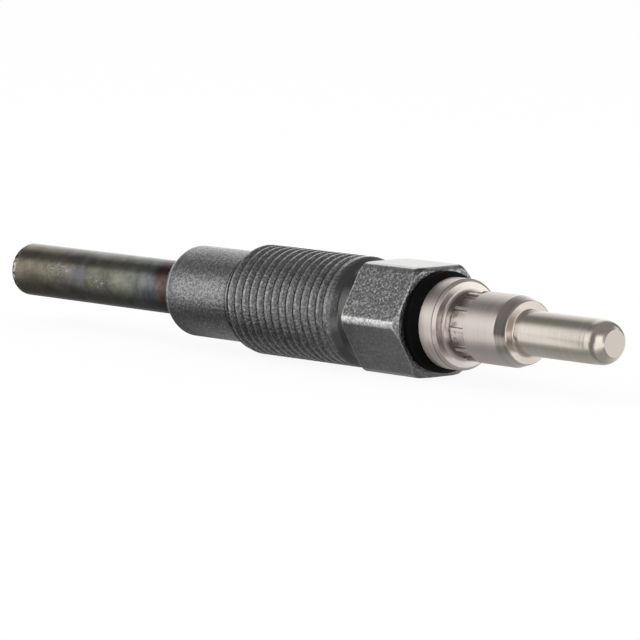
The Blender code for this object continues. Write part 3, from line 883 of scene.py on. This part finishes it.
def black_plastic():
    """Matt black plastic with a fine grain."""
    grain_scale, grain_depth, sheen_scale = 6000, 0.01 * MM, 2500
    finish = Finish("black_plastic", (0.004, 0.0035, 0.0035), 0.0, 0.55)
    finish.set("Specular IOR Level", 0.08)
    finish.set("Normal", finish.bump(finish.noise(grain_scale, 2.0), grain_depth, 0.5))
    finish.set("Roughness", finish.ramp(finish.noise(sheen_scale, 2.0), [(0.3, 0.5), (0.7, 0.65)]))
    return finish.material


def plain_finish(name, colour, metallic, roughness, grain_scale, grain_depth):
    """A finish for the pieces inside, with a fine grain in its colour and its surface."""
    finish = Finish(name, colour, metallic, roughness)
    grain = finish.noise(grain_scale, 3.0)
    darker = tuple(0.8 * channel for channel in colour)
    finish.set("Base Color", finish.mix(finish.span(grain, 0.3, 0.7), darker, colour))
    finish.set("Normal", finish.bump(grain, grain_depth * MM, 0.6))
    return finish.material


# Colour, metallic, roughness, and the grain's scale and depth, of each piece inside
INSIDE = {
    "heating_coil": ((0.42, 0.4, 0.38), 1.0, 0.35, 4000, 0.005),
    "control_coil": ((0.6, 0.57, 0.52), 1.0, 0.3, 4000, 0.005),
    "insulating_powder": ((0.86, 0.85, 0.81), 0.0, 0.9, 6000, 0.02),
    "tube_seal": ((0.4, 0.16, 0.11), 0.0, 0.6, 3000, 0.01),
    "terminal_rod": ((0.55, 0.55, 0.55), 1.0, 0.35, 3000, 0.005),
    "o_ring": ((0.03, 0.03, 0.03), 0.0, 0.5, 5000, 0.01),
}


def dress(obj, material):
    obj.data.materials.clear()
    obj.data.materials.append(material)


# Stage

FLOOR_GREY = 0.08
FLOOR_SIDE = 8
WORLD_LEVEL = 0.8
LAMP_WATTS = 1.56
LAMP_SIZE = 0.7
LAMP_PLACE = (-0.25, -0.35, 0.7)
WHITE = (1.0, 1.0, 1.0)

# What the metal mirrors around the plug's tube side: 0 degrees is level in front, 90 is above
FRONT_BOX = [(-180, 1.0), (-90, 0.8), (-10, 0.85), (3, 1.0), (14, 1.08), (30, 1.05), (40, 0.9)]
TOP_CARD = [(49, 0.6), (58, 0.32), (66, 0.2), (84, 0.17), (94, 0.22), (106, 0.46)]
BACKDROP = [(120, 0.7), (140, 0.95), (160, 1.1), (172, 1.2)]

# What it mirrors on its pin side, by heading: 0 degrees is straight in front, 90 is beyond the pin
PIN_CARDS = [(-60, 0.2), (6, 0.2), (14, 1.2), (50, 1.2), (60, 0.45), (86, 0.45), (100, 0.9), (125, 1.0)]
PIN_TOP_CARD = (0.25, 0.25, 0.25)

# The floor's brightness painted into its reflection for each stretch of the plug, by millimetres across from
# under the axis, with painted shade close under the plug
FLOOR_REACH = 40
FLOOR_BY_TUBE = [
    (-40, 0.95), (-13, 0.62), (-9.5, 0.5), (-5.8, 0.28), (-3.6, 0.16), (-2, 0.13), (0, 0.14), (1.1, 0.18),
    (6, 0.32), (12, 0.8),
]
FLOOR_BY_SHELL = [
    (-40, 0.85), (-20, 0.42), (-12, 0.22), (-8.8, 0.19), (-6.9, 0.12), (-4.7, 0.18), (-3.4, 0.29),
    (-1.6, 0.33), (0.4, 0.4), (2, 0.5), (8.5, 1.0),
]
FLOOR_BY_HEXAGON = [
    (-40, 0.6), (-28, 0.45), (-14, 0.4), (-9, 0.39), (-6, 0.39), (0, 0.39), (2, 0.45), (4, 0.62), (8.5, 1.0),
]
FLOOR_BY_PIN = [
    (-40, 0.95), (-14, 0.9), (-10, 0.85), (-8.5, 0.68), (-7, 0.44), (-5.5, 0.33), (-4.4, 0.29), (-2, 0.36),
    (2, 0.45), (4, 0.62), (8.5, 1.0),
]
FLOOR_BY_NOSE = [(-12, 1.1), (-6, 0.45), (-4, 0.33), (0, 0.36), (8.5, 1.0)]

# A mirrored ray runs this far along the axis for each millimetre that it runs across
RAY_SLANT = 1.16
# Where along the axis the rays stop coming from one stretch and start coming from the next
TUBE_TO_SHELL = (-14, -11)
SHELL_TO_HEXAGON = (13.5, 15.5)
HEXAGON_TO_PIN = (22, 24)
# The pin's nose mirrors a sector of the floor that opens here, painted with a dark side of painted shade and
# a bright side of painted highlight
NOSE_SECTOR_START = 38.2
NOSE_DARK_SLOPES = (-0.72, -0.5)
NOSE_BRIGHT_SLOPES = (0, 0.2)
NOSE_PAINTED_SHADE = (0.2, 0.2, 0.2)


def world_light():
    """Soft studio light: even on matt surfaces, white to the camera, and to the metal a white box in
    front of the glow tube, dark cards above the plug and beyond its pin, and a white backdrop."""
    world = bpy.data.worlds.new("studio")
    bpy.context.scene.world = world
    world.use_nodes = True
    nodes = Nodes(world.node_tree)
    x, y, z = nodes.split(nodes.add("ShaderNodeTexCoord").outputs["Generated"])
    to_front = nodes.math("MULTIPLY", y, -1.0)
    around = nodes.math("MULTIPLY", nodes.math("ARCTAN2", z, to_front), 180 / math.pi)
    tube_side = nodes.ramp(around, FRONT_BOX + TOP_CARD + BACKDROP, -180, 180)
    heading = nodes.math("MULTIPLY", nodes.math("ARCTAN2", x, to_front), 180 / math.pi)
    pin_side = nodes.ramp(heading, PIN_CARDS, -60, 180)
    overhead = nodes.span(z, 0.45, 0.75, "SMOOTHSTEP")
    pin_side = nodes.mix(overhead, pin_side, PIN_TOP_CARD)
    mirrored = nodes.mix(nodes.span(x, -0.6, -0.32, "SMOOTHSTEP"), tube_side, pin_side)
    rays = nodes.add("ShaderNodeLightPath").outputs
    level = nodes.mix(rays["Is Glossy Ray"], (WORLD_LEVEL,) * 3, mirrored)
    seen = nodes.largest(rays["Is Camera Ray"], rays["Is Transmission Ray"])
    level = nodes.mix(seen, level, WHITE)
    nodes.feed(world.node_tree.nodes["Background"].inputs["Color"], level)


def painted_floor_reflection(finish):
    """The floor as the metal sees it, an emission painted in as its reflection: white far off, and painted
    shade close under the plug.
    """

    def by_across(stops):
        return finish.ramp(across, stops, -FLOOR_REACH, FLOOR_REACH)

    along = finish.math("DIVIDE", finish.x, MM)
    across = finish.math("DIVIDE", finish.y, MM)
    source = finish.math("SUBTRACT", along, finish.product(across, RAY_SLANT))
    level = by_across(FLOOR_BY_TUBE)
    for border, stops in (
        (TUBE_TO_SHELL, FLOOR_BY_SHELL),
        (SHELL_TO_HEXAGON, FLOOR_BY_HEXAGON),
        (HEXAGON_TO_PIN, FLOOR_BY_PIN),
    ):
        level = finish.mix(finish.span(source, *border), level, by_across(stops))
    ahead = finish.math("SUBTRACT", along, NOSE_SECTOR_START)
    in_front = finish.largest(finish.math("SUBTRACT", -1.0, across), 0.5)
    slope = finish.math("DIVIDE", ahead, in_front)
    level = finish.mix(finish.span(slope, *NOSE_DARK_SLOPES), level, NOSE_PAINTED_SHADE)
    return finish.mix(finish.span(slope, *NOSE_BRIGHT_SLOPES), level, by_across(FLOOR_BY_NOSE))


def floor():
    """A pale floor, lifted to white where the camera sees it, with its shadow kept. To the metal it shows a
    painted reflection instead.
    """
    bpy.ops.mesh.primitive_plane_add(size=FLOOR_SIDE)
    plane = bpy.context.object
    plane.name = "floor"
    finish = Finish("floor", (FLOOR_GREY,) * 3, 0.0, 0.9)
    finish.set("Specular IOR Level", 0.0)
    rays = finish.add("ShaderNodeLightPath").outputs
    seen = finish.largest(rays["Is Camera Ray"], rays["Is Transmission Ray"])
    finish.set("Emission Color", WHITE)
    finish.set("Emission Strength", finish.product(seen, 1 - FLOOR_GREY))
    mirrored = finish.add("ShaderNodeEmission")
    finish.feed(mirrored.inputs["Color"], painted_floor_reflection(finish))
    either = finish.add("ShaderNodeMixShader")
    finish.feed(either.inputs[0], rays["Is Glossy Ray"])
    finish.feed(either.inputs[1], finish.shader.outputs[0])
    finish.feed(either.inputs[2], mirrored.outputs[0])
    finish.feed(finish.tree.nodes["Material Output"].inputs["Surface"], either.outputs[0])
    dress(plane, finish.material)


def soft_lamp():
    """A wide lamp above the front left, which lights the floor and matt surfaces only."""
    data = bpy.data.lights.new("soft_lamp", "AREA")
    data.shape = "DISK"
    data.size = LAMP_SIZE
    data.energy = LAMP_WATTS
    lamp = bpy.data.objects.new("soft_lamp", data)
    bpy.context.scene.collection.objects.link(lamp)
    lamp.location = LAMP_PLACE
    lamp.rotation_mode = "QUATERNION"
    lamp.rotation_quaternion = (-lamp.location).to_track_quat("-Z", "Y")
    lamp.visible_glossy = False
    lamp.visible_camera = False


def camera():
    """The camera of the photograph: its angles and distance come from the plug's outlines there."""
    image = 640
    focal_pixels = 4317
    distance = 382.5 * MM
    azimuth, elevation = math.radians(49.3), math.radians(6.34)
    aim_station = 42.6
    aim_above_centre = 14.1
    nearest, farthest = 0.01, 20
    back = Vector((
        math.sin(azimuth) * math.cos(elevation),
        -math.cos(azimuth) * math.cos(elevation),
        math.sin(elevation),
    ))
    right = Vector((math.cos(azimuth), math.sin(azimuth), 0))
    up = back.cross(right)
    aim = place(aim_station, 0, 0)
    data = bpy.data.cameras.new("camera")
    data.sensor_width = 36
    data.lens = focal_pixels / image * data.sensor_width
    data.clip_start, data.clip_end = nearest, farthest
    cam = bpy.data.objects.new("camera", data)
    bpy.context.scene.collection.objects.link(cam)
    cam.location = aim + back * distance
    target = aim - up * distance * aim_above_centre / focal_pixels
    cam.rotation_mode = "QUATERNION"
    cam.rotation_quaternion = (target - cam.location).to_track_quat("-Z", "Y")
    bpy.context.scene.camera = cam


dress(make_shell(), phosphated_steel())
dress(make_tube(), heat_tinted_alloy())
dress(make_washer(), black_plastic())
dress(make_nut(), nickel_plate())
for node, finish_values in INSIDE.items():
    dress(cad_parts[node], plain_finish(node, *finish_values))

world_light()
soft_lamp()
floor()
camera()
bpy.context.scene.view_settings.view_transform = "Standard"
